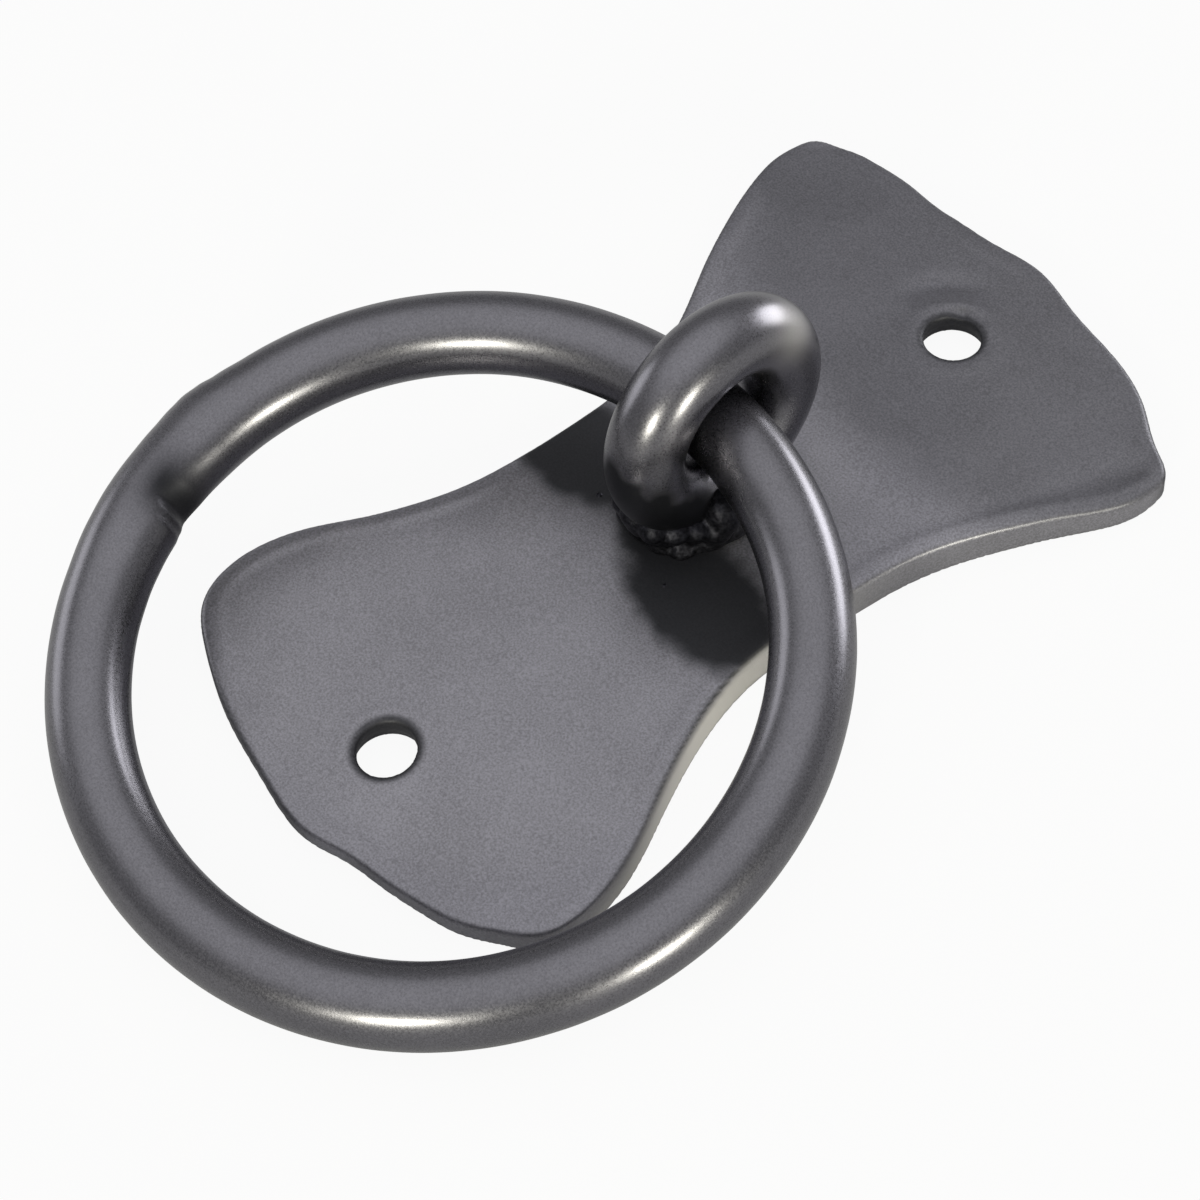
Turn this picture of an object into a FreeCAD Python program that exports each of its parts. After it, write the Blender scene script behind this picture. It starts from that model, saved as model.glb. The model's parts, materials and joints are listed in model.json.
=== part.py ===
# Ring pull for a cabinet door or drawer, in black coated forged steel.
# A hammered bow-tie back plate with two screw holes carries a small upright ring of round bar, the eye,
# which is welded to the plate. A larger ring of round bar, the pull, is closed through the eye and swings.
# Frame: the plate lies on its back in the XY plane, +Z out of its front, +Y along the line of the holes.
# The origin is on the back face, midway between the holes. Lengths are in mm, angles in degrees.
import FreeCAD, Part
import math
import os

import Sketcher

doc = FreeCAD.newDocument("RingPull")
sheet = doc.addObject("Spreadsheet::Sheet", "Sizes")

# Driving sizes
SIZES = [
    ("hole_spacing", 60.0, "between the two screw holes"),
    ("hole_diameter", 4.8, "of each screw hole"),
    ("hole_lip", 0.35, "rounding of the holes' front edge"),
    ("plate_thickness", 3.6, "at the waist, under the eye"),
    ("end_thickness", 1.5, "at both hammered ends"),
    ("waist_width", 27.4, "across the narrow middle"),
    ("lower_width", 44.0, "across the widest part of the end that the pull lies on"),
    ("upper_width", 48.8, "across the widest part of the other end"),
    ("lower_reach", 39.1, "from the middle to the tip of the lower end"),
    ("upper_reach", 40.8, "from the middle to the tip of the upper end"),
    ("front_round", 0.9, "rounding of the front edge, left by the hammer"),
    ("back_round", 0.25, "rounding of the back edge"),
    ("eye_bar", 6.4, "diameter of the eye's bar"),
    ("eye_opening", 8.3, "clear diameter inside the eye"),
    ("eye_side", -0.5, "of the eye from the line of the holes"),
    ("eye_along", 4.6, "of the eye from the middle of the plate"),
    ("eye_turn", 2.8, "turn of the eye about its upright axis"),
    ("eye_seat", 0.2, "depth of the flat melted on the eye where it stands on the plate"),
    ("ring_bar", 6.7, "diameter of the pull's bar"),
    ("ring_diameter", 56.0, "of the pull, through the middle of its bar"),
    ("ring_play", 0.28, "left between the pull's bar and the inside of the eye"),
    ("ring_hang", 28.0, "of the pull's rest in the eye, from the eye's lowest point to the lower end's side"),
    ("ring_lift", 0.15, "left under the pull's lowest point"),
    ("ring_turn", 2.0, "turn of the swing axis in plan"),
    ("ring_roll", 5.3, "by which the right end of the swing axis hangs low"),
    ("seam_angle", 198.5, "of the pull's butt weld, from the right end of the swing axis"),
    ("seam_step", 0.3, "by which each bar end misses the true circle at the weld"),
    ("near_end_arc", 16.0, "over which the lower bar end drifts inward"),
    ("far_end_arc", 12.0, "over which the upper bar end drifts outward"),
    ("bead_radius", 2.1, "of one drop of the weld that holds the eye"),
    ("bead_pitch", 1.8, "from one drop of the weld to the next"),
]
for row, (alias, value, meaning) in enumerate(SIZES, start=1):
    sheet.set(f"A{row}", meaning)
    sheet.set(f"B{row}", str(value))
    sheet.setAlias(f"B{row}", alias)
doc.recompute()


def size(alias):
    return float(getattr(sheet, alias))


def origin_plane(body, role):
    return next(plane for plane in body.Origin.OriginFeatures if plane.Role == role)


def new_sketch(body, name, role):
    sketch = body.newObject("Sketcher::SketchObject", name)
    sketch.AttachmentSupport = [(origin_plane(body, role), "")]
    sketch.MapMode = "FlatFace"
    return sketch


# Back plate
# The outline was hammered by eye, so each end is a list of points, each a share of half the end's width
# and of its reach, taken clockwise as seen from the front. The waist gives the two points between them.
LOWER_END = [
    (0.655, 0.243), (0.79, 0.42), (0.91, 0.573), (0.973, 0.70), (0.95, 0.806), (0.836, 0.877),
    (0.573, 0.939), (0.386, 0.962), (0.218, 0.98), (0.09, 1.0), (-0.236, 0.985), (-0.582, 0.939),
    (-0.827, 0.882), (-0.973, 0.824), (-1.03, 0.729), (-0.995, 0.606), (-0.859, 0.453), (-0.714, 0.294),
]
UPPER_END = [
    (-0.656, 0.319), (-0.811, 0.483), (-0.947, 0.637), (-1.033, 0.765), (-1.045, 0.873), (-0.967, 0.931),
    (-0.676, 0.961), (-0.43, 0.968), (-0.205, 0.99), (-0.033, 1.0), (0.205, 0.968), (0.463, 0.944),
    (0.639, 0.902), (0.799, 0.841), (0.914, 0.799), (0.926, 0.75), (0.861, 0.647), (0.734, 0.49),
    (0.598, 0.282),
]
WAIST_SIDE = -0.3


def plate_outline():
    half_waist = size("waist_width") / 2
    points = [FreeCAD.Vector(WAIST_SIDE + half_waist, 0, 0)]
    for across, along in LOWER_END:
        points.append(FreeCAD.Vector(across * size("lower_width") / 2, -along * size("lower_reach"), 0))
    points.append(FreeCAD.Vector(WAIST_SIDE - half_waist, 0, 0))
    for across, along in UPPER_END:
        points.append(FreeCAD.Vector(across * size("upper_width") / 2, along * size("upper_reach"), 0))
    curve = Part.BSplineCurve()
    curve.interpolate(Points=points, PeriodicFlag=True)
    return curve


plate = doc.addObject("PartDesign::Body", "BackPlate")
plate.Label = "back_plate"
outline = new_sketch(plate, "PlateOutline", "XY_Plane")
outline.addGeometry(plate_outline(), False)
outline.addConstraint(Sketcher.Constraint("Block", 0))
blank = plate.newObject("PartDesign::Pad", "PlateBlank")
blank.Profile = outline
blank.setExpression("Length", "Sizes.plate_thickness")
doc.recompute()
blank_volume = blank.Shape.Volume

# The front is drawn out thinner towards both ends: one long arc, highest under the eye.
taper = new_sketch(plate, "FrontTaper", "YZ_Plane")
OVERHANG = 6.0
crown = size("plate_thickness")
drop = size("plate_thickness") - size("end_thickness")
low_y = -size("lower_reach")
high_y = size("upper_reach")
fall_off = size("end_thickness") - drop * OVERHANG / high_y
far_low = FreeCAD.Vector(low_y - OVERHANG, fall_off, 0)
far_high = FreeCAD.Vector(high_y + OVERHANG, fall_off, 0)
top_mid = FreeCAD.Vector((low_y + high_y) / 2, crown, 0)
sky = crown + OVERHANG
taper.addGeometry(Part.Arc(far_low, top_mid, far_high), False)
sky_low = FreeCAD.Vector(far_low.x, sky, 0)
sky_high = FreeCAD.Vector(far_high.x, sky, 0)
for start, end in ((far_high, sky_high), (sky_high, sky_low), (sky_low, far_low)):
    taper.addGeometry(Part.LineSegment(start, end), False)
for index in range(4):
    taper.addConstraint(Sketcher.Constraint("Block", index))
drawn = plate.newObject("PartDesign::Pocket", "DrawnOutFront")
drawn.Profile = taper
drawn.Midplane = True
drawn.Length = 4 * max(size("upper_width"), size("lower_width"))
doc.recompute()
if not drawn.Shape.Volume < blank_volume:
    raise RuntimeError("the front taper cut nothing")

# Two plain screw holes, right through
holes = new_sketch(plate, "HoleCentres", "XY_Plane")
for index, side in enumerate((-1, 1)):
    centre = FreeCAD.Vector(0, side * size("hole_spacing") / 2, 0)
    circle = Part.Circle(centre, FreeCAD.Vector(0, 0, 1), size("hole_diameter") / 2)
    holes.addGeometry(circle, False)
    holes.addConstraint(Sketcher.Constraint("PointOnObject", index, 3, -2))
    diameter = holes.addConstraint(Sketcher.Constraint("Diameter", index, size("hole_diameter")))
    holes.setExpression(f"Constraints[{diameter}]", "Sizes.hole_diameter")
    away = holes.addConstraint(Sketcher.Constraint("DistanceY", -1, 1, index, 3, centre.y))
    holes.setExpression(f"Constraints[{away}]", f"Sizes.hole_spacing * {side} / 2")
drilled = plate.newObject("PartDesign::Pocket", "ScrewHoles")
drilled.Profile = holes
drilled.Midplane = True
drilled.setExpression("Length", "Sizes.plate_thickness * 4")
doc.recompute()


# Rounded edges. The upright lines where the side walls close on themselves are left out.
def upright(edge):
    return edge.Curve.TypeId == "Part::GeomLine"


def on_back(edge):
    return edge.BoundBox.ZMax < size("back_round") / 2


def round_a_hole(edge):
    return edge.BoundBox.DiagonalLength < 2 * size("hole_diameter")


def front_outline(edge):
    return not (upright(edge) or on_back(edge) or round_a_hole(edge))


def back_outline(edge):
    return on_back(edge) and not round_a_hole(edge)


def front_of_a_hole(edge):
    return round_a_hole(edge) and not (upright(edge) or on_back(edge))


for name, alias, wanted in (
    ("FrontEdgeRound", "front_round", front_outline),
    ("BackEdgeRound", "back_round", back_outline),
    ("HoleLips", "hole_lip", front_of_a_hole),
):
    base = plate.Tip
    picked = [f"Edge{number}" for number, edge in enumerate(base.Shape.Edges, start=1) if wanted(edge)]
    rounded = plate.newObject("PartDesign::Fillet", name)
    rounded.Base = (base, picked)
    rounded.setExpression("Radius", f"Sizes.{alias}")
    doc.recompute()

# Eye
# A closed ring of round bar that stands upright on the plate, its opening facing across the plate.
# Where it stands, welding has melted a small flat on it.
EYE_RADIUS = "(Sizes.eye_opening + Sizes.eye_bar) / 2"
eye = doc.addObject("PartDesign::Body", "Eye")
eye.Label = "eye_ring"
bar_section = new_sketch(eye, "EyeBarSection", "XY_Plane")
eye_radius = (size("eye_opening") + size("eye_bar")) / 2
bar_circle = Part.Circle(FreeCAD.Vector(0, eye_radius, 0), FreeCAD.Vector(0, 0, 1), size("eye_bar") / 2)
bar_section.addGeometry(bar_circle, False)
bar_section.addConstraint(Sketcher.Constraint("PointOnObject", 0, 3, -2))
bar_size = bar_section.addConstraint(Sketcher.Constraint("Diameter", 0, size("eye_bar")))
bar_section.setExpression(f"Constraints[{bar_size}]", "Sizes.eye_bar")
bar_height = bar_section.addConstraint(Sketcher.Constraint("DistanceY", -1, 1, 0, 3, eye_radius))
bar_section.setExpression(f"Constraints[{bar_height}]", EYE_RADIUS)
bent = eye.newObject("PartDesign::Revolution", "BentEye")
bent.Profile = bar_section
bent.ReferenceAxis = (bar_section, ["H_Axis"])
bent.Angle = 360
doc.recompute()
whole_eye = bent.Shape.Volume

foot = new_sketch(eye, "MeltedFoot", "YZ_Plane")
foot_top = -(eye_radius + size("eye_bar") / 2 - size("eye_seat"))
reach = size("eye_bar")
corners = [(-reach, foot_top), (reach, foot_top), (reach, foot_top - reach), (-reach, foot_top - reach)]
for index, (y, z) in enumerate(corners):
    end = corners[(index + 1) % len(corners)]
    foot.addGeometry(Part.LineSegment(FreeCAD.Vector(y, z, 0), FreeCAD.Vector(*end, 0)), False)
for index in range(len(corners)):
    foot.addConstraint(Sketcher.Constraint("Coincident", index, 2, (index + 1) % len(corners), 1))
for index, direction in enumerate(("Horizontal", "Vertical", "Horizontal", "Vertical")):
    foot.addConstraint(Sketcher.Constraint(direction, index))
foot_start = foot.addConstraint(Sketcher.Constraint("DistanceX", -1, 1, 0, 1, -reach))
foot.setExpression(f"Constraints[{foot_start}]", "-Sizes.eye_bar")
foot_height = foot.addConstraint(Sketcher.Constraint("DistanceY", -1, 1, 0, 1, foot_top))
foot.setExpression(f"Constraints[{foot_height}]", f"-({EYE_RADIUS} + Sizes.eye_bar / 2 - Sizes.eye_seat)")
foot_end = foot.addConstraint(Sketcher.Constraint("DistanceX", -1, 1, 0, 2, reach))
foot.setExpression(f"Constraints[{foot_end}]", "Sizes.eye_bar")
foot_depth = foot.addConstraint(Sketcher.Constraint("DistanceY", 1, 1, 1, 2, -reach))
foot.setExpression(f"Constraints[{foot_depth}]", "-Sizes.eye_bar")
melted = eye.newObject("PartDesign::Pocket", "MeltedFlat")
melted.Profile = foot
melted.Midplane = True
melted.setExpression("Length", "Sizes.eye_bar * 4")
eye.Placement.Rotation = FreeCAD.Rotation(FreeCAD.Vector(0, 0, 1), size("eye_turn"))
eye.setExpression("Placement.Base.x", "Sizes.eye_side")
eye.setExpression("Placement.Base.y", "Sizes.eye_along")
eye.setExpression(
    "Placement.Base.z", f"Sizes.plate_thickness + {EYE_RADIUS} + Sizes.eye_bar / 2 - Sizes.eye_seat"
)
doc.recompute()
if not melted.Shape.Volume < whole_eye:
    raise RuntimeError("the eye has no flat under it")

# Weld
# One bead along each side of the eye's foot: overlapping drops of molten steel, no two alike, that fill
# the corner between the bar and the plate.
DROP_SIZES = {"left": (0.8, 1.0, 0.92, 1.05, 0.85), "right": (0.75, 1.05, 0.9, 1.12, 0.85)}
OUTWARD = {"left": -1, "right": 1}
DROP_LIFT = 0.2
DROP_SIDE = 0.42
OUTWARD_RISE = 0.6
for side, shares in DROP_SIZES.items():
    drops = []
    for index, share in enumerate(shares):
        drop = doc.addObject("Part::Sphere", f"Drop_{side}_{index}")
        drop.setExpression("Radius", f"Sizes.bead_radius * {share}")
        along = (index - (len(shares) - 1) / 2) * size("bead_pitch")
        across = OUTWARD[side] * size("eye_bar") * DROP_SIDE
        place = FreeCAD.Vector(across, along, size("bead_radius") * DROP_LIFT)
        foot_point = FreeCAD.Vector(size("eye_side"), size("eye_along"), size("plate_thickness"))
        away_from_bar = FreeCAD.Vector(OUTWARD[side], 0, OUTWARD_RISE)
        drop.Placement = FreeCAD.Placement(
            foot_point + eye.Placement.Rotation.multVec(place),
            FreeCAD.Rotation(FreeCAD.Vector(0, 0, 1), away_from_bar),
        )
        drops.append(drop)
    string = doc.addObject("Part::MultiFuse", f"Drops_{side}")
    string.Shapes = drops
    on_plate = doc.addObject("Part::Cut", f"DropsOnPlate_{side}")
    on_plate.Base = string
    on_plate.Tool = plate
    bead = doc.addObject("Part::Cut", f"Bead_{side}")
    bead.Base = on_plate
    bead.Tool = eye
    bead.Label = f"eye_weld_{side}"
doc.recompute()

# Pull
# Round bar bent into a ring and butt-welded once it is closed through the eye. The bar ends don't quite
# meet: one drifts inside the true circle and the other outside it, which leaves a step at the weld.
SWEEP_PAST = 1.0
main = doc.addObject("Part::Torus", "RingMain")
main.setExpression("Radius1", "Sizes.ring_diameter / 2")
main.setExpression("Radius2", "Sizes.ring_bar / 2")
main.setExpression("Angle3", "360 - Sizes.near_end_arc - Sizes.far_end_arc")
main_start = size("seam_angle") + size("near_end_arc")
main.Placement.Rotation = FreeCAD.Rotation(FreeCAD.Vector(0, 0, 1), main_start)
ends = []
for name, drift, alias in (("Near", 1, "near_end_arc"), ("Far", -1, "far_end_arc")):
    joins_at = math.radians(size("seam_angle") + drift * size(alias))
    shift = drift * size("seam_step") / (1 - math.cos(math.radians(size(alias))))
    bar_end = doc.addObject("Part::Torus", f"Ring{name}End")
    bar_end.Radius1 = size("ring_diameter") / 2 - shift
    bar_end.setExpression("Radius2", "Sizes.ring_bar / 2")
    spread = size("ring_diameter") / 2 / (size("ring_diameter") / 2 - shift)
    bar_end.Angle3 = size(alias) * spread + SWEEP_PAST
    first = joins_at if drift < 0 else joins_at - math.radians(float(bar_end.Angle3))
    bar_end.Placement.Rotation = FreeCAD.Rotation(FreeCAD.Vector(0, 0, 1), math.degrees(first))
    bar_end.Placement.Base = FreeCAD.Vector(shift * math.cos(joins_at), shift * math.sin(joins_at), 0)
    ends.append(bar_end)
pull = doc.addObject("Part::MultiFuse", "PullRing")
pull.Label = "pull_ring"
pull.Shapes = [main] + ends

# The pull lies as it comes to rest: its bar on the lower inside of the eye, and its far side on the
# surface that the plate lies on. The pitch follows from those two heights.
ring_radius = size("ring_diameter") / 2
bar_radius = size("ring_bar") / 2
eye_centre = eye.Placement.Base
off_centre = size("eye_opening") / 2 - bar_radius - size("ring_play")
hang = math.radians(size("ring_hang"))
hung = FreeCAD.Vector(0, -off_centre * math.sin(hang), -off_centre * math.cos(hang))
swing_point = eye_centre + eye.Placement.Rotation.multVec(hung)
roll = math.radians(size("ring_roll"))
fall = (swing_point.z - bar_radius - size("ring_lift")) / ring_radius
sink = (fall ** 2 - math.sin(roll) ** 2) / (2 * fall)
pitch = math.degrees(math.asin(sink / math.cos(roll)))
turned = FreeCAD.Rotation(FreeCAD.Vector(0, 0, 1), size("ring_turn"))
rolled = FreeCAD.Rotation(FreeCAD.Vector(0, 1, 0), size("ring_roll"))
pitched = FreeCAD.Rotation(FreeCAD.Vector(1, 0, 0), pitch)
pose = turned.multiply(rolled).multiply(pitched)
pull.Placement = FreeCAD.Placement(swing_point - pose.multVec(FreeCAD.Vector(0, ring_radius, 0)), pose)
doc.recompute()
swing_axis = pose.multVec(FreeCAD.Vector(1, 0, 0))
print("swing point", [round(v, 3) for v in swing_point], "swing axis", [round(v, 4) for v in swing_axis])

# Every piece is checked before any is written.
PIECES = [plate, eye, doc.Bead_left, doc.Bead_right, pull]
for item in doc.Objects:
    if "Invalid" in item.State or "Error" in item.State:
        raise RuntimeError(f"{item.Name} failed to build")
for piece in PIECES:
    if piece.Shape.isNull() or not piece.Shape.isValid() or len(piece.Shape.Solids) != 1:
        raise RuntimeError(f"{piece.Label} isn't one valid solid")

os.makedirs("parts", exist_ok=True)
for piece in PIECES:
    piece.Shape.exportStep(f"parts/{piece.Label}.step")
    print(piece.Label, round(piece.Shape.Volume, 1), "mm3")
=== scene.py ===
import json
import math

import bmesh
import bpy
from mathutils import Matrix, Vector, noise
from mathutils.bvhtree import BVHTree
from mathutils.kdtree import KDTree


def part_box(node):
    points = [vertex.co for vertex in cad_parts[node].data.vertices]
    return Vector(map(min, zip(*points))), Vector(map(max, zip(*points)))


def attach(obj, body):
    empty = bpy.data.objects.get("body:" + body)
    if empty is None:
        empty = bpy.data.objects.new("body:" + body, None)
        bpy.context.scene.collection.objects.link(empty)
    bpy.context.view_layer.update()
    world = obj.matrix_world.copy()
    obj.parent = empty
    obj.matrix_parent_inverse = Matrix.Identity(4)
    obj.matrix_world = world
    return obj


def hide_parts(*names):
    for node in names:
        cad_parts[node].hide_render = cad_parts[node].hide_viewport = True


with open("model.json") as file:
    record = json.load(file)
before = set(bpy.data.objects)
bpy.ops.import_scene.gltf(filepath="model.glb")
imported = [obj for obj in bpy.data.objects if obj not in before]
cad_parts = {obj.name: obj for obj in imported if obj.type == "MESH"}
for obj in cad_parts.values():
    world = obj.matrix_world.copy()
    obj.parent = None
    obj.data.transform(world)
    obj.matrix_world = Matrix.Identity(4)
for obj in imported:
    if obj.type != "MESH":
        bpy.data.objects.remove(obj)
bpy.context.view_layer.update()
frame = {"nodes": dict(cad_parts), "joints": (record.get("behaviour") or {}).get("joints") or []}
nodes = frame["nodes"]

# Back plate
# A blank of mild steel, forged hot into a bow tie and drawn out thinner towards both ends, with two
# screw holes punched through it. The front keeps the soft waves, dents and burrs of the work under
# its black coat, and the back is flat. Every size here and below is in mm, and every turn in degrees.
MM = 0.001
PLATE_SQUARE = 0.29
HOLE_RADIUS = 2.4
HOLE_ALONG = 30.0

# The hammer's waves: how long and how high.
WAVES = [(11.0, 0.10), (5.0, 0.035), (2.1, 0.012)]

# Dents and swellings of the front: across, along, length, width, turn, height.
DENTS = [
    (8.0, -38.0, 14.0, 4.0, 170, -0.22),
    (19.0, 30.0, 3.6, 1.5, 60, -0.20),
    (17.4, 25.0, 5.5, 1.0, 67, -0.12),
    (21.2, 33.6, 0.9, 0.9, 0, 0.22),
    (-19.0, 35.5, 5.0, 3.0, 30, -0.10),
    (-8.0, 20.0, 7.0, 4.0, 110, 0.06),
    (9.0, 33.0, 6.0, 3.0, 20, 0.05),
    (2.0, -35.5, 3.0, 1.2, 160, 0.05),
    (8.0, -34.4, 2.6, 0.9, 160, -0.05),
    (-12.0, -25.0, 8.0, 5.0, 40, 0.04),
]

# Round the upper hole a collar, stronger on its left, a hammered moat, a broken ledge, a burr and a
# nick: how far out, how wide, which way, over what turn, height.
UPPER_HOLE_FORMS = [
    (3.7, 0.80, 0, math.inf, 0.096),
    (3.7, 0.80, 170, 70, 0.064),
    (6.1, 1.10, 145, 32, -0.42),
    (2.7, 0.55, 122, 17, -0.40),
    (3.7, 0.35, 112, 26, 0.30),
    (3.1, 0.35, 62, 24, 0.14),
]
LOWER_COLLAR_RADIUS = 3.5
LOWER_COLLAR_WIDTH = 0.7
LOWER_COLLAR_HEIGHT = 0.05

# The lip that the hammer drew up along the edge, in patches.
LIP_FROM_EDGE = 1.25
LIP_WIDTH = 0.55
LIP_HEIGHT = 0.12
LIP_PATCH = 7.0

# Where the outline wanders from the plain one: across, along, over what width, how far outward.
EDGE_MOVES = [
    (20.0, -22.4, 5.0, 0.28),
    (18.6, -34.3, 3.4, -0.60),
    (12.5, -36.7, 4.0, -0.34),
    (5.0, -38.2, 5.5, -0.42),
    (-5.0, -38.5, 5.0, -0.12),
    (14.0, -5.0, 8.0, 0.25),
    (-14.5, -5.0, 8.0, 0.32),
    (-18.9, -17.7, 4.0, -0.25),
    (-21.0, 22.0, 9.0, 0.10),
    (-15.5, 39.3, 3.5, 0.55),
    (-25.2, 37.4, 1.5, 0.45),
    (-23.0, 38.9, 1.6, -0.18),
    (-26.3, 34.6, 1.8, -0.14),
    (-9.5, 39.6, 3.0, 0.30),
    (-1.0, 40.8, 4.0, 0.25),
    (6.0, 39.4, 5.0, 0.25),
    (22.6, 31.6, 2.6, -0.33),
    (20.9, 26.3, 3.5, 0.24),
    (14.5, 11.0, 5.0, 0.18),
]
EDGE_MOVE_DEPTH = 5.0
WALL_UPRIGHT = 0.45
HOLE_CLEAR = 4.0

# The front edge is crisper than a plain round, and the punch tore the holes wider towards the back.
CRISP_WITHIN = 2.0
CRISP_HEIGHT = 0.15
BREAKOUT = 0.5
BREAKOUT_OUT_TO = 3.2
BREAKOUT_HEIGHT = 1.6
BREAKOUT_WIDTH = 0.4

# Dark places painted on the front: across, along, length, width, turn, share. The first three are
# painted shadow of the eye and pull, in front of and beside the eye, and by the weld they also stand
# for heat-darkened coat; the last two are painted shade, darker towards the upper end. The ragged
# edges of these places have tears: how long, which pattern, and how far.
SHADOWS_AND_SCORCHES = [
    (6.6, -3.4, 8.2, 4.6, -4, 0.95),
    (-0.5, -1.0, 4.6, 3.6, 0, 0.95),
    (-10.2, -0.2, 7.6, 4.7, 12, 0.93),
    (2.0, 33.0, 27.0, 16.0, 0, 0.42),
    (-20.0, 34.0, 7.0, 5.0, 30, 0.46),
]
DARK_PATCH_OUT_TO = 1.25
DARK_PATCH_FADE = 0.45
DARK_PATCH_TEARS = [(1.8, 70, 0.55), (0.75, 20, 0.2)]

# Painted shade on the edges that face away from the light, along the waist's right shoulder and in the
# holes.
DARK_EDGE = 0.72
DARK_EDGE_STEEPER_THAN = 0.93
DARK_EDGE_FACING = 0.3
SHOULDER_TILT = 0.80
SHOULDER_SPREAD = 0.17
SHOULDER_ALONG = -10.0
SHOULDER_LENGTH = 14.0
DARK_HOLE = 0.85
DARK_HOLE_OUT_TO = 3.2

# Painted light: the wall at the right of the waist is painted pale, as if lit from the right.
LIT_WALL_ALONG = -11.0
LIT_WALL_LENGTH = 13.0
LIT_WALL_RIGHT_OF = 5.0


def even_squares(solid, square, easing=3):
    """The outer skin of a closed mesh, or of several that overlap, in small even squares."""
    rough = bpy.data.objects.new("rough", solid)
    bpy.context.scene.collection.objects.link(rough)
    squares = rough.modifiers.new("squares", "REMESH")
    squares.mode = "VOXEL"
    squares.voxel_size = square * MM
    eased = rough.modifiers.new("eased", "SMOOTH")
    eased.factor = 0.5
    eased.iterations = easing
    finished = rough.evaluated_get(bpy.context.evaluated_depsgraph_get())
    mesh = bpy.data.meshes.new_from_object(finished)
    mesh.materials.clear()
    bpy.data.objects.remove(rough)
    return mesh


def fine_mesh(node, square):
    """The mesh of a CAD piece in small even squares that lie on the exact surface."""
    exact = nodes[node].data
    mesh = even_squares(exact.copy(), square)
    surface = BVHTree.FromPolygons(
        [vertex.co for vertex in exact.vertices], [list(face.vertices) for face in exact.polygons]
    )
    for vertex in mesh.vertices:
        place, _, _, away = surface.find_nearest(vertex.co)
        if away < square * MM:
            vertex.co = place
    mesh.update()
    return mesh


def put_in_scene(mesh, name, node, body):
    """Makes a piece of a mesh, in place of the CAD node and on its body."""
    mesh.name = name
    for face in mesh.polygons:
        face.use_smooth = True
    piece = bpy.data.objects.new(name, mesh)
    bpy.context.scene.collection.objects.link(piece)
    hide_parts(node)
    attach(piece, body)


def bell(distance, width):
    """1 in the middle, falling softly to nothing at about twice the width."""
    return math.exp(-((distance / width) ** 2))


def clipped(share):
    """A share held between 0 and 1."""
    return min(1.0, max(0.0, share))


def turned_way(across, along, turn):
    """A way across and along as seen from axes that are turned by so many degrees."""
    turned = math.radians(turn)
    length_way = across * math.cos(turned) + along * math.sin(turned)
    width_way = along * math.cos(turned) - across * math.sin(turned)
    return length_way, width_way


def from_a_hole(place):
    """The way in mm from the middle of the nearest screw hole, in plan."""
    along = place.y / MM
    return Vector((place.x / MM, along - math.copysign(HOLE_ALONG, along)))


def dent_height(across, along):
    """The dents and swellings of the front, in mm."""
    height = 0.0
    for x, y, length, width, turn, rise in DENTS:
        u, v = turned_way(across - x, along - y, turn)
        height += rise * bell(u, length) * bell(v, width)
    return height


def hole_height(across, along):
    """The collars and other forms round the two screw holes, in mm."""
    upper = Vector((across, along - HOLE_ALONG))
    turn = math.degrees(math.atan2(upper.y, upper.x))
    height = 0.0
    for radius, width, way, spread, rise in UPPER_HOLE_FORMS:
        height += rise * bell(upper.length - radius, width) * bell(turn - way, spread)
    lower = math.hypot(across, along + HOLE_ALONG)
    return height + LOWER_COLLAR_HEIGHT * bell(lower - LOWER_COLLAR_RADIUS, LOWER_COLLAR_WIDTH)


def hammered_height(across, along, from_edge):
    """How far the front lies above or below the plain plate, in mm."""
    height = dent_height(across, along) + hole_height(across, along)
    for length, rise in WAVES:
        height += rise * noise.noise(Vector((across, along, 9 * length)) / length)
    lip = LIP_HEIGHT * (0.5 + noise.noise(Vector((across, along, 40)) / LIP_PATCH))
    return height + lip * bell(from_edge - LIP_FROM_EDGE, LIP_WIDTH)


def outline_of(mesh):
    """The plate's outer wall, as places to find the nearest one of and the way that each faces."""
    wall = [
        vertex
        for vertex in mesh.vertices
        if abs(vertex.normal.z) < WALL_UPRIGHT and from_a_hole(vertex.co).length > HOLE_CLEAR
    ]
    places = KDTree(len(wall))
    for index, vertex in enumerate(wall):
        places.insert((vertex.co.x, vertex.co.y, 0), index)
    places.balance()
    outward = [Vector((vertex.normal.x, vertex.normal.y, 0)).normalized() for vertex in wall]
    return places, outward


def forge(mesh):
    """Moves the plate's surface by the hammer's work, its wandering outline and its torn holes."""
    outline, outward = outline_of(mesh)
    moves = []
    for vertex in mesh.vertices:
        x, y, up = vertex.co.x / MM, vertex.co.y / MM, vertex.normal.z
        _, nearest, away = outline.find((vertex.co.x, vertex.co.y, 0))
        from_edge = away / MM
        move = Vector((0, 0, hammered_height(x, y, from_edge) * max(0.0, up) ** 2))
        drift = sum(
            rise * bell(math.dist((x, y), (u, v)), width) for u, v, width, rise in EDGE_MOVES
        )
        move += outward[nearest] * drift * bell(from_edge, EDGE_MOVE_DEPTH)
        if from_edge < CRISP_WITHIN and up > 0:
            slanting = 2 * up * math.sqrt(max(0.0, 1 - up**2))
            move += vertex.normal * CRISP_HEIGHT * slanting**2
        hole = from_a_hole(vertex.co)
        if hole.length < BREAKOUT_OUT_TO:
            depth = 1 - clipped(vertex.co.z / MM / BREAKOUT_HEIGHT)
            torn = BREAKOUT * depth * bell(hole.length - HOLE_RADIUS, BREAKOUT_WIDTH)
            move += Vector((hole.x, hole.y, 0)).normalized() * torn
        moves.append(move * MM)
    for vertex, move in zip(mesh.vertices, moves):
        vertex.co += move
    mesh.update()


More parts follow.
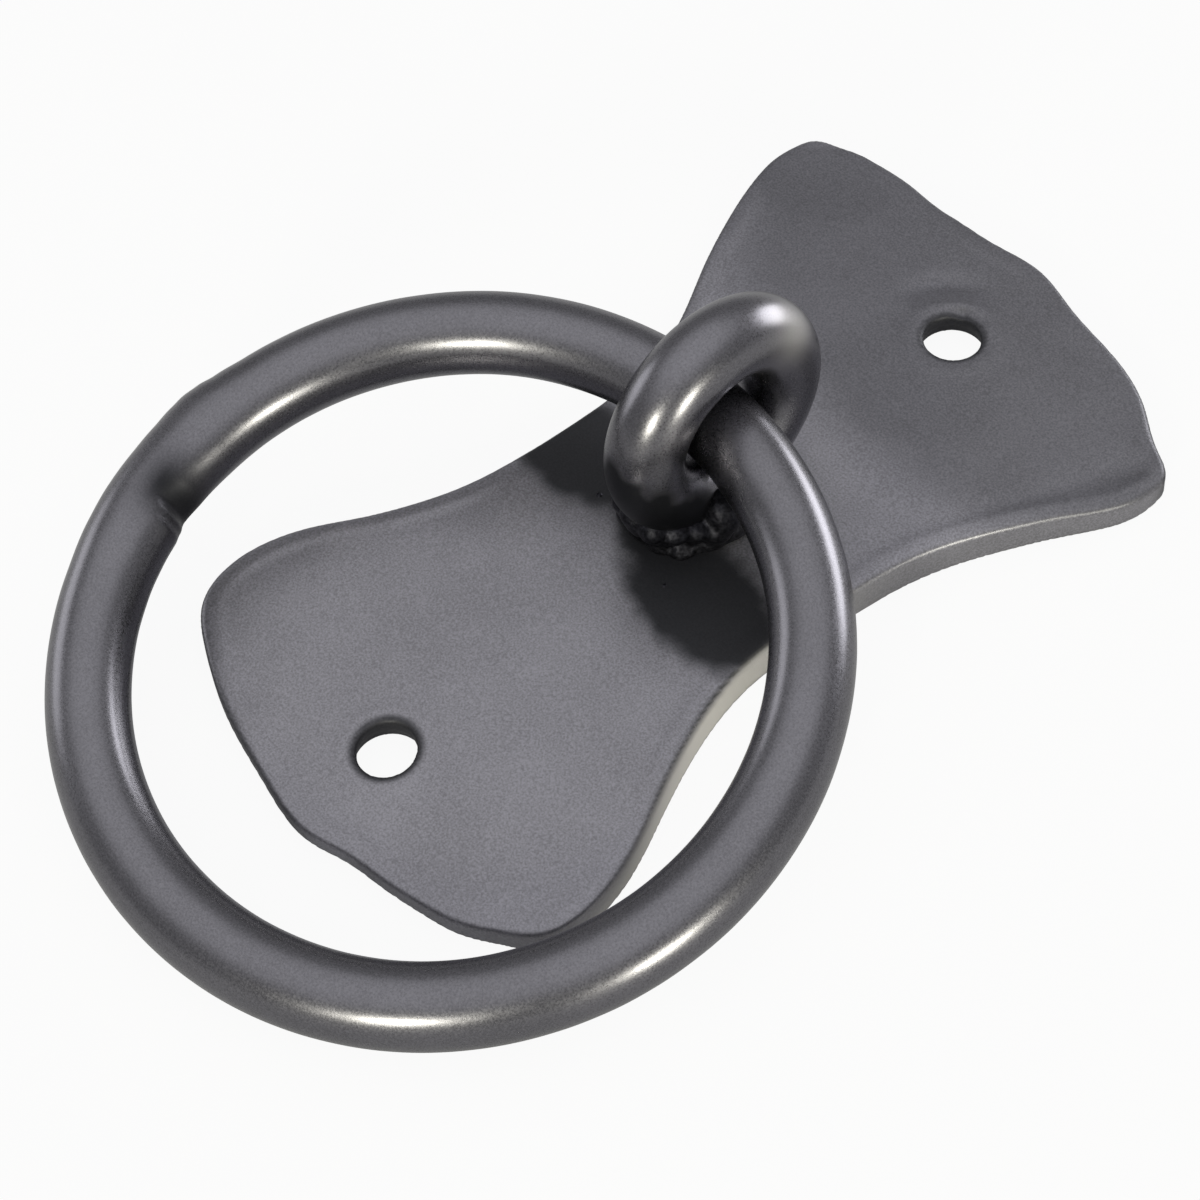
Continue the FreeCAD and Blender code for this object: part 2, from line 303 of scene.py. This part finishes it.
def shade_and_scorch_at(across, along):
    """How dark the front is painted, 0 to 1: painted shadow and shade, and heat-darkened coat."""
    torn = 0.0
    for size, seed, rise in DARK_PATCH_TEARS:
        torn += rise * noise.noise(Vector((across, along, seed)) / size)
    darkened = 0.0
    for x, y, length, width, turn, share in SHADOWS_AND_SCORCHES:
        u, v = turned_way(across - x, along - y, turn)
        ragged = math.hypot(u / length, v / width) + torn / width
        fade = clipped((DARK_PATCH_OUT_TO - ragged) / DARK_PATCH_FADE)
        darkened = max(darkened, share * fade * fade * (3 - 2 * fade))
    return darkened


def plate_shade_and_scorch(vertex):
    """Painted shadow and shade, heat-darkened coat by the weld, and shaded edges and holes."""
    x, y = vertex.co.x / MM, vertex.co.y / MM
    facing = vertex.normal
    facing_away = clipped(max(3 * (DARK_EDGE_FACING - facing.x), 3 * facing.y))
    steep = clipped(4 * (DARK_EDGE_STEEPER_THAN - facing.z))
    shoulder = max(0.0, facing.x) * bell(facing.z - SHOULDER_TILT, SHOULDER_SPREAD)
    shoulder *= bell(y - SHOULDER_ALONG, SHOULDER_LENGTH)
    edge = max(facing_away * steep, min(1.3, 3 * shoulder))
    hole = clipped(2.2 * (DARK_HOLE_OUT_TO - from_a_hole(vertex.co).length))
    front = clipped(2 * facing.z)
    return max(shade_and_scorch_at(x, y) * front, DARK_EDGE * edge, DARK_HOLE * hole)


def wall_painted_light(vertex):
    """How pale the wall at the right of the waist is painted, from 0 to 1: painted light."""
    x, y = vertex.co.x / MM, vertex.co.y / MM
    if x <= LIT_WALL_RIGHT_OF:
        return 0.0
    facing = max(0.0, vertex.normal.x) * (1 - abs(vertex.normal.z))
    return facing * bell(y - LIT_WALL_ALONG, LIT_WALL_LENGTH)


def paint(mesh, name, share_at):
    """Keeps a share from 0 to 1 at every vertex, for the finish to read."""
    layer = mesh.attributes.new(name, "FLOAT", "POINT")
    for vertex, entry in zip(mesh.vertices, layer.data):
        entry.value = share_at(vertex)


def linear(colour):
    """An sRGB hex colour as the linear values that a shader takes."""
    channels = [int(colour[i : i + 2], 16) / 255 for i in (1, 3, 5)]
    return [c / 12.92 if c <= 0.04045 else ((c + 0.055) / 1.055) ** 2.4 for c in channels] + [1.0]


def add_node(tree, kind, inputs=None, **settings):
    """A node with its settings. inputs holds a value or another node's output for each socket."""
    node = tree.nodes.new(kind)
    for name, value in settings.items():
        setattr(node, name, value)
    for name, value in (inputs or {}).items():
        if isinstance(value, bpy.types.NodeSocket):
            tree.links.new(value, node.inputs[name])
        else:
            node.inputs[name].default_value = value
    return node


def per_mm(size):
    """The scale of a texture whose pattern repeats about every so many millimetres."""
    return 1 / (size * MM)


# Satin black powder coat, baked thin on forged steel. It has a dark metallic sheen, a fine grain and
# a soft uneven tone. Painted shade and shadow, and heat-burnt coat, turn it matt and nearly black;
# painted light turns it pale and matt. A Mix node's sockets 2 and 3 are its two numbers, and 6 and 7
# its two colours.
# The colour of painted shade and shadow, and of heat-burnt coat.
SHADE_AND_BURN_COLOUR = "#222327"
# The colour of painted light.
PAINTED_LIGHT_COLOUR = "#dcd9d5"
MATT_ROUGHNESS = 0.55
UNEVEN_ROUGHNESS = 0.05
GRAIN_SHARE = 0.78
GREY_STOPS = (0.36, 0.64)
PEEL_STRENGTH = 0.3


def black_coat(name, dark, pale, roughness, metallic, grain, patches, peel_depth):
    """The coat in two greys, with its grain, the size of its patches and its peel's depth in mm."""
    material = bpy.data.materials.new(name)
    material.use_nodes = True
    tree = material.node_tree
    shader = tree.nodes["Principled BSDF"]
    shader.inputs["Metallic"].default_value = metallic
    place = add_node(tree, "ShaderNodeTexCoord").outputs["Object"]
    tone = add_node(
        tree,
        "ShaderNodeTexNoise",
        {"Vector": place, "Scale": per_mm(patches), "Detail": 3, "Roughness": 0.55},
    )
    speck = add_node(
        tree,
        "ShaderNodeTexNoise",
        {"Vector": place, "Scale": per_mm(grain), "Detail": 2, "Roughness": 0.6},
    )
    shade = add_node(
        tree,
        "ShaderNodeMix",
        {0: GRAIN_SHARE, 2: tone.outputs["Fac"], 3: speck.outputs["Fac"]},
        data_type="FLOAT",
    )
    grey = add_node(tree, "ShaderNodeValToRGB", {"Fac": shade.outputs[0]})
    for stop, along, colour in zip(grey.color_ramp.elements, GREY_STOPS, (dark, pale)):
        stop.position = along
        stop.color = linear(colour)
    satin = add_node(
        tree,
        "ShaderNodeMapRange",
        {
            "Value": shade.outputs[0],
            "From Min": 0.3,
            "From Max": 0.7,
            "To Min": roughness - UNEVEN_ROUGHNESS,
            "To Max": roughness + UNEVEN_ROUGHNESS,
        },
    )
    peel = add_node(
        tree,
        "ShaderNodeBump",
        {"Height": speck.outputs["Fac"], "Strength": PEEL_STRENGTH, "Distance": peel_depth * MM},
    )
    # The painted shade, shadow and burn, and the painted light, that each mesh carries.
    shade_and_scorch = add_node(tree, "ShaderNodeAttribute", attribute_name="shade_and_scorch").outputs["Fac"]
    painted_light = add_node(tree, "ShaderNodeAttribute", attribute_name="painted_light").outputs["Fac"]
    darkened = add_node(
        tree,
        "ShaderNodeMix",
        {0: shade_and_scorch, 6: grey.outputs["Color"], 7: linear(SHADE_AND_BURN_COLOUR)},
        data_type="RGBA",
    )
    lightened = add_node(
        tree, "ShaderNodeMix", {0: painted_light, 6: darkened.outputs[2], 7: linear(PAINTED_LIGHT_COLOUR)}, data_type="RGBA"
    )
    changed = add_node(tree, "ShaderNodeMath", {0: shade_and_scorch, 1: painted_light}, operation="MAXIMUM")
    dulled = add_node(
        tree,
        "ShaderNodeMix",
        {0: changed.outputs[0], 2: satin.outputs["Result"], 3: MATT_ROUGHNESS},
        data_type="FLOAT",
    )
    tree.links.new(lightened.outputs[2], shader.inputs["Base Color"])
    tree.links.new(dulled.outputs[0], shader.inputs["Roughness"])
    tree.links.new(peel.outputs["Normal"], shader.inputs["Normal"])
    return material


plate_mesh = fine_mesh("back_plate", PLATE_SQUARE)
forge(plate_mesh)
# The plate's painted shadow and shade, with heat-darkened coat by the weld.
paint(plate_mesh, "shade_and_scorch", plate_shade_and_scorch)
# Painted light on the right wall of the waist.
paint(plate_mesh, "painted_light", wall_painted_light)
# On the hammered face the coat lies over mill scale, so it is duller and less metallic than on a bar.
# Its real grain of about 0.05 mm is too fine to show, so it is drawn at 0.18 mm.
plate_mesh.materials.append(
    black_coat("hammered_satin_coat", "#737278", "#93929a", 0.38, 0.65, 0.18, 9.0, 0.035)
)
put_in_scene(plate_mesh, "hammered_plate", "back_plate", "plate_and_eye")

# Eye
# Round bar bent hot into a small closed ring and stood upright on the plate. Its foot is melted a
# little flat and painted dark low down, for the weld's burn and as painted shade by the plate. Its
# skin is smoother than the plate, because the bar was rolled and only bent.
EYE_BAR = 6.4
EYE_OPENING = 8.3
EYE_TURN = 2.8
EYE_STEPS = 256
BAR_SIDES = 96

# The unevenness of a rolled bar: how long and how high. It stays inside the plain bar.
SKIN_WAVES = [(7.0, 0.03), (2.4, 0.008)]
EYE_SKIN_DEEPER = 0.03

# The dark foot, heat-burnt coat and painted shade: how high it reaches, how much higher per mm
# towards the front, and how ragged it is.
FOOT_DARK_TO = 11.0
FOOT_DARK_LEAN = 1.05
FOOT_DARK_FADE = 1.5
FOOT_DARK_RAGGED = 1.5
FOOT_DARK_TEAR = 1.6
FOOT_SHADE_AND_BURN = 0.93

# A painted highlight on the crown: a pale, matt patch where light is painted.
CROWN_HIGHLIGHT_AT = Vector((2.2, 11.2, 19.7))
CROWN_HIGHLIGHT_OVER = 2.5
CROWN_HIGHLIGHT = 0.5


def closed_bar(name, steps, place_at):
    """The mesh of a bar bent round on itself. place_at gives each point from two angles."""
    places = []
    for step in range(steps):
        for side in range(BAR_SIDES):
            places.append(place_at(2 * math.pi * step / steps, 2 * math.pi * side / BAR_SIDES))
    faces = []
    for step in range(steps):
        here, ahead = step * BAR_SIDES, (step + 1) % steps * BAR_SIDES
        for side in range(BAR_SIDES):
            other = (side + 1) % BAR_SIDES
            faces.append((here + side, ahead + side, ahead + other, here + other))
    mesh = bpy.data.meshes.new(name)
    mesh.from_pydata(places, [], faces)
    mesh.update()
    return mesh


def skin(place):
    """The unevenness of a rolled and bent bar, in mm."""
    return sum(rise * noise.noise(place / (length * MM)) for length, rise in SKIN_WAVES)


eye_low, eye_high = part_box("eye_ring")
eye_radius = (EYE_OPENING + EYE_BAR) / 2 * MM
eye_outer = eye_radius + EYE_BAR / 2 * MM
eye_middle = (eye_low + eye_high) / 2
eye_centre = Vector((eye_middle.x, eye_middle.y, eye_high.z - eye_outer))
eye_turned = Matrix.Rotation(math.radians(EYE_TURN), 3, "Z")
eye_across = eye_turned @ Vector((1, 0, 0))
eye_along = eye_turned @ Vector((0, 1, 0))


def eye_point(turn, side):
    """A point of the eye's skin, held above its flat foot."""
    outward = eye_along * math.cos(turn) + Vector((0, 0, math.sin(turn)))
    away = outward * math.cos(side) + eye_across * math.sin(side)
    place = eye_centre + outward * eye_radius + away * EYE_BAR / 2 * MM
    place = place + away * (skin(place) - EYE_SKIN_DEEPER) * MM
    place.z = max(place.z, eye_low.z)
    return place


def eye_shade_and_scorch(vertex):
    """Heat-burnt coat and painted shade on the foot: highest at the front, where the weld was laid
    last.
    """
    place = vertex.co / MM
    ragged = place.z + FOOT_DARK_RAGGED * noise.noise(place / FOOT_DARK_TEAR)
    reach = FOOT_DARK_TO - FOOT_DARK_LEAN * place.y
    return FOOT_SHADE_AND_BURN * clipped((reach - ragged) / FOOT_DARK_FADE)


def eye_painted_highlight(vertex):
    """How pale the crown is painted: a painted highlight."""
    return CROWN_HIGHLIGHT * bell((vertex.co / MM - CROWN_HIGHLIGHT_AT).length, CROWN_HIGHLIGHT_OVER)


eye_mesh = closed_bar("eye", EYE_STEPS, eye_point)
# Painted shade and heat-burnt coat on the foot.
paint(eye_mesh, "shade_and_scorch", eye_shade_and_scorch)
# A painted highlight on the crown.
paint(eye_mesh, "painted_light", eye_painted_highlight)
# On the smooth round bar the same coat is glossier and fully metallic, which draws the long glints.
# Its grain is drawn at 0.16 mm for the same reason as the plate's.
bar_coat = black_coat("bar_satin_coat", "#67666b", "#7b7a80", 0.29, 1.0, 0.16, 7.0, 0.008)
eye_mesh.materials.append(bar_coat)
put_in_scene(eye_mesh, "bent_eye", "eye_ring", "plate_and_eye")

# Welds
# Weld metal laid by hand round the eye's foot in overlapping drops and left rough under the coat. It
# fills the corner in front of the foot, and a little spatter was thrown on the plate round it.
BEAD_SQUARE = 0.14
BEAD_EASING = 16

# The unevenness of the beads: how long and how high.
BEAD_LUMPS = [(2.3, 0.35), (0.6, 0.05)]

# Drops and spatter beside those of the CAD beads: across, along, up, radius.
MORE_DROPS = {
    "left": [(-3.6, -1.0, 5.2, 1.4), (-3.2, -1.7, 4.2, 1.6), (-6.9, -2.6, 3.35, 0.34)],
    "right": [
        (-1.6, -1.9, 4.3, 1.7),
        (0.2, -1.7, 4.2, 1.6),
        (1.5, -0.9, 4.0, 1.5),
        (2.2, 0.6, 3.9, 1.4),
        (2.4, 2.2, 3.8, 1.2),
        (-2.7, -2.3, 6.3, 1.3),
        (-1.0, -2.7, 6.2, 1.4),
        (0.8, -2.1, 5.8, 1.3),
        (1.9, -0.4, 5.3, 1.2),
        (-2.9, -2.9, 7.1, 1.1),
        (-1.3, -3.3, 7.2, 1.2),
        (0.5, -2.9, 6.9, 1.2),
        (1.8, -1.6, 6.4, 1.2),
        (2.5, -0.2, 6.0, 1.2),
        (2.9, 2.2, 7.0, 1.9),
        (2.9, 1.2, 5.6, 1.4),
        (3.4, -4.6, 3.35, 0.34),
        (6.4, 0.4, 3.35, 0.34),
    ],
}


def bead_solid(node, drops):
    """The CAD bead and its further drops, as one mesh of overlapping closed skins."""
    heap = bmesh.new()
    heap.from_mesh(nodes[node].data)
    for x, y, z, radius in drops:
        place = Matrix.Translation(Vector((x, y, z)) * MM)
        bmesh.ops.create_icosphere(heap, subdivisions=3, radius=radius * MM, matrix=place)
    solid = bpy.data.meshes.new("heap")
    heap.to_mesh(solid)
    heap.free()
    return solid


def roughen(mesh):
    """Moves a bead's skin in and out by its lumps."""
    moves = []
    for vertex in mesh.vertices:
        place = vertex.co / MM
        lump = sum(rise * noise.noise(place / length) for length, rise in BEAD_LUMPS)
        moves.append(vertex.normal * lump * MM)
    for vertex, move in zip(mesh.vertices, moves):
        vertex.co += move
    mesh.update()


# Over the burnt and pitted weld the coat is nearly black, which is also painted shade in the corner
# under the eye, and it shines less than on the bars.
weld_coat = black_coat("rough_shaded_weld_coat", "#1e1e22", "#3b3b41", 0.5, 1.0, 0.3, 1.4, 0.05)
for side, drops in MORE_DROPS.items():
    bead_mesh = even_squares(bead_solid(f"eye_weld_{side}", drops), BEAD_SQUARE, BEAD_EASING)
    roughen(bead_mesh)
    bead_mesh.materials.append(weld_coat)
    put_in_scene(bead_mesh, f"weld_bead_{side}", f"eye_weld_{side}", "plate_and_eye")

# Pull
# Round bar bent into a ring, closed through the eye and butt-welded cold. At the weld the upper bar
# end is ground away on its inside, the lower one stands in as a lip, and a swelling shows on the
# outside above.
PULL_BAR = 6.7
PULL_STEPS = 900
PULL_SKIN_DEEPER = 0.035

# How far the bar stands out from its plain round near the weld: the angle round the ring, and mm.
OUTSIDE_AT_WELD = [
    (170, 0.0),
    (175, 0.18),
    (178, 0.42),
    (180.5, 0.52),
    (183, 0.44),
    (187, 0.30),
    (192, 0.24),
    (198, 0.22),
    (204, 0.14),
    (212, 0.0),
]
INSIDE_AT_WELD = [
    (182, 0.0),
    (191, -0.22),
    (195.8, -0.64),
    (198.2, 0.02),
    (200.5, 0.28),
    (205, 0.20),
    (211, 0.08),
    (220, 0.0),
]
INSIDE_FACES = 165.0
INSIDE_SPREAD = 44.0

# The flat above the notch, where the grinding left the coat matt, and which is painted dark: painted
# shade.
GROUND_AT = 194.0
GROUND_OVER = 5.5
GROUND_SHADE_AND_DULL = 0.9


def between(table, angle):
    """A smooth value between the rows of a table of angle and mm."""
    if angle <= table[0][0] or angle >= table[-1][0]:
        return 0.0
    for (low, before), (high, after) in zip(table, table[1:]):
        if angle <= high:
            share = (angle - low) / (high - low)
            return before + (after - before) * share * share * (3 - 2 * share)


pull_low, pull_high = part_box("pull_ring")
pull_centre = (pull_low + pull_high) / 2
swing = next(joint for joint in frame["joints"] if joint["name"] == "ring_swing")
swing_place = Vector(swing["pos_m"])
to_eye = (swing_place - pull_centre).normalized()
to_right = (-Vector(swing["axis"])).normalized()
pull_face = to_right.cross(to_eye)
pull_radius = (swing_place - pull_centre).length


def pull_point(turn, side):
    """A point of the pull's skin, with the swelling, the ground flat and the lip at its weld."""
    outward = to_right * math.cos(turn) + to_eye * math.sin(turn)
    away = outward * math.cos(side) + pull_face * math.sin(side)
    place = pull_centre + outward * pull_radius + away * PULL_BAR / 2 * MM
    angle, facing = math.degrees(turn), math.degrees(side)
    grown = skin(place) - PULL_SKIN_DEEPER
    grown += between(OUTSIDE_AT_WELD, angle) * max(0.0, math.cos(side)) ** 1.5
    grown += between(INSIDE_AT_WELD, angle) * bell(facing - INSIDE_FACES, INSIDE_SPREAD)
    return place + away * grown * MM


def ground_dull_and_shaded(vertex):
    """How matt the flat ground inside above the notch is, and how dark in painted shade."""
    away = vertex.co - pull_centre
    angle = math.degrees(math.atan2(away.dot(to_eye), away.dot(to_right))) % 360
    outside = (away.length - pull_radius) / (PULL_BAR / 2 * MM)
    return GROUND_SHADE_AND_DULL * bell(angle - GROUND_AT, GROUND_OVER) * clipped(0.55 - 1.6 * outside)


pull_mesh = closed_bar("pull", PULL_STEPS, pull_point)
# Painted shade on the ground flat above the notch, which is matt too.
paint(pull_mesh, "shade_and_scorch", ground_dull_and_shaded)
pull_mesh.materials.append(bar_coat)
put_in_scene(pull_mesh, "welded_pull", "pull_ring", "pull")

# Table
# A plain white table that runs out of view. The camera sees it nearly as pure white, the steel's
# gloss sees it a little brighter than it is lit, and it keeps the soft shadow of the handle.
TABLE_SIZE = 4.0
TABLE_BELOW = 0.05
TABLE_COLOUR = "#c9c9c9"
WHITE_TO_CAMERA = 0.93
WHITE_TO_GLOSS = 0.1
WHITE = "#ffffff"
bpy.ops.mesh.primitive_plane_add(size=TABLE_SIZE, location=(0, 0, -TABLE_BELOW * MM))
table = bpy.context.object
table.name = "white_table"
table_paint = bpy.data.materials.new("white_table_top")
table_paint.use_nodes = True
tree = table_paint.node_tree
tree.nodes.clear()
rays = add_node(tree, "ShaderNodeLightPath")
lit = add_node(tree, "ShaderNodeBsdfDiffuse", {"Color": linear(TABLE_COLOUR)})
glow = add_node(tree, "ShaderNodeEmission", {"Color": linear(WHITE), "Strength": 1.0})
shown = add_node(
    tree,
    "ShaderNodeMath",
    {0: rays.outputs["Is Camera Ray"], 1: WHITE_TO_CAMERA},
    operation="MULTIPLY",
)
mirrored = add_node(
    tree,
    "ShaderNodeMath",
    {0: rays.outputs["Is Glossy Ray"], 1: WHITE_TO_GLOSS},
    operation="MULTIPLY",
)
whitened = add_node(
    tree, "ShaderNodeMath", {0: shown.outputs[0], 1: mirrored.outputs[0]}, operation="MAXIMUM"
)
top = add_node(
    tree, "ShaderNodeMixShader", {"Fac": whitened.outputs[0], 1: lit.outputs[0], 2: glow.outputs[0]}
)
add_node(tree, "ShaderNodeOutputMaterial", {"Surface": top.outputs[0]})
table.data.materials.append(table_paint)

# Light
# A room with a wide white ceiling and dim walls, two pale windows low beside and behind the handle,
# and two small bulbs low in front of it, which draw the long glints on the round bars.
BULB_WHITE = "#fdfbe6"

# The room's light: how far up, from straight below at 0 to straight above at 1, and how strong.
CEILING = [(0.0, 0.38), (0.58, 0.45), (0.72, 0.75), (0.85, 1.05), (1.0, 1.1)]
world = bpy.data.worlds.new("white_room")
bpy.context.scene.world = world
world.use_nodes = True
tree = world.node_tree
tree.nodes.clear()
rays = add_node(tree, "ShaderNodeLightPath")
way = add_node(tree, "ShaderNodeTexCoord").outputs["Generated"]
upward = add_node(tree, "ShaderNodeSeparateXYZ", {"Vector": way}).outputs["Z"]
level = add_node(tree, "ShaderNodeFloatCurve", {"Value": upward})
curve = level.mapping.curves[0]
curve.points[0].location = CEILING[0]
curve.points[-1].location = CEILING[-1]
for height, strength in CEILING[1:-1]:
    curve.points.new(height, strength)
level.mapping.update()
room = add_node(
    tree, "ShaderNodeBackground", {"Color": linear(WHITE), "Strength": level.outputs["Value"]}
)
white = add_node(tree, "ShaderNodeBackground", {"Color": linear(WHITE), "Strength": 1.0})
seen = add_node(
    tree,
    "ShaderNodeMixShader",
    {"Fac": rays.outputs["Is Camera Ray"], 1: room.outputs[0], 2: white.outputs[0]},
)
add_node(tree, "ShaderNodeOutputWorld", {"Surface": seen.outputs[0]})

# The lamps: name, the way round and up to it, how far off and how wide in metres, watts, colour.
LAMPS = [
    ("window_left", -155, 10, 0.9, 0.5, 1.1, WHITE),
    ("window_back", 86, 5, 0.9, 0.6, 5.2, WHITE),
    ("front_left", -60, 20, 0.9, 0.16, 3.4, BULB_WHITE),
    ("front_right", -6, 9, 0.9, 0.14, 3.0, BULB_WHITE),
]
for name, azimuth, elevation, distance, size, watts, colour in LAMPS:
    lamp = bpy.data.lights.new(name, "AREA")
    lamp.shape = "DISK"
    lamp.size = size
    lamp.energy = watts
    lamp.color = linear(colour)[:3]
    holder = bpy.data.objects.new(name, lamp)
    bpy.context.scene.collection.objects.link(holder)
    turned, raised = math.radians(azimuth), math.radians(elevation)
    level_way = Vector((math.cos(turned), math.sin(turned), 0)) * math.cos(raised)
    towards = level_way + Vector((0, 0, math.sin(raised)))
    holder.location = towards * distance
    holder.rotation_euler = towards.to_track_quat("Z", "Y").to_euler()

# Camera
# It looks down on the handle from the lower right, as the photograph does, through a long lens. Its
# place and the ways of its right and upper sides were fitted to the photograph's outlines.
CAMERA_PLACE = Vector((121.66, -92.08, 209.32)) * MM
CAMERA_RIGHT = Vector((0.64099, 0.76456, -0.06771))
CAMERA_UP = Vector((-0.60093, 0.55476, 0.57544))
LENS = 96.0
SENSOR = 36.0
NEAREST_SEEN = 0.01
camera_data = bpy.data.cameras.new("camera")
camera_data.lens = LENS
camera_data.sensor_width = SENSOR
camera_data.clip_start = NEAREST_SEEN
camera = bpy.data.objects.new("camera", camera_data)
bpy.context.scene.collection.objects.link(camera)
axes = Matrix((CAMERA_RIGHT, CAMERA_UP, CAMERA_RIGHT.cross(CAMERA_UP))).transposed()
camera.matrix_world = Matrix.Translation(CAMERA_PLACE) @ axes.to_4x4()
bpy.context.scene.camera = camera
bpy.context.scene.view_settings.view_transform = "Standard"
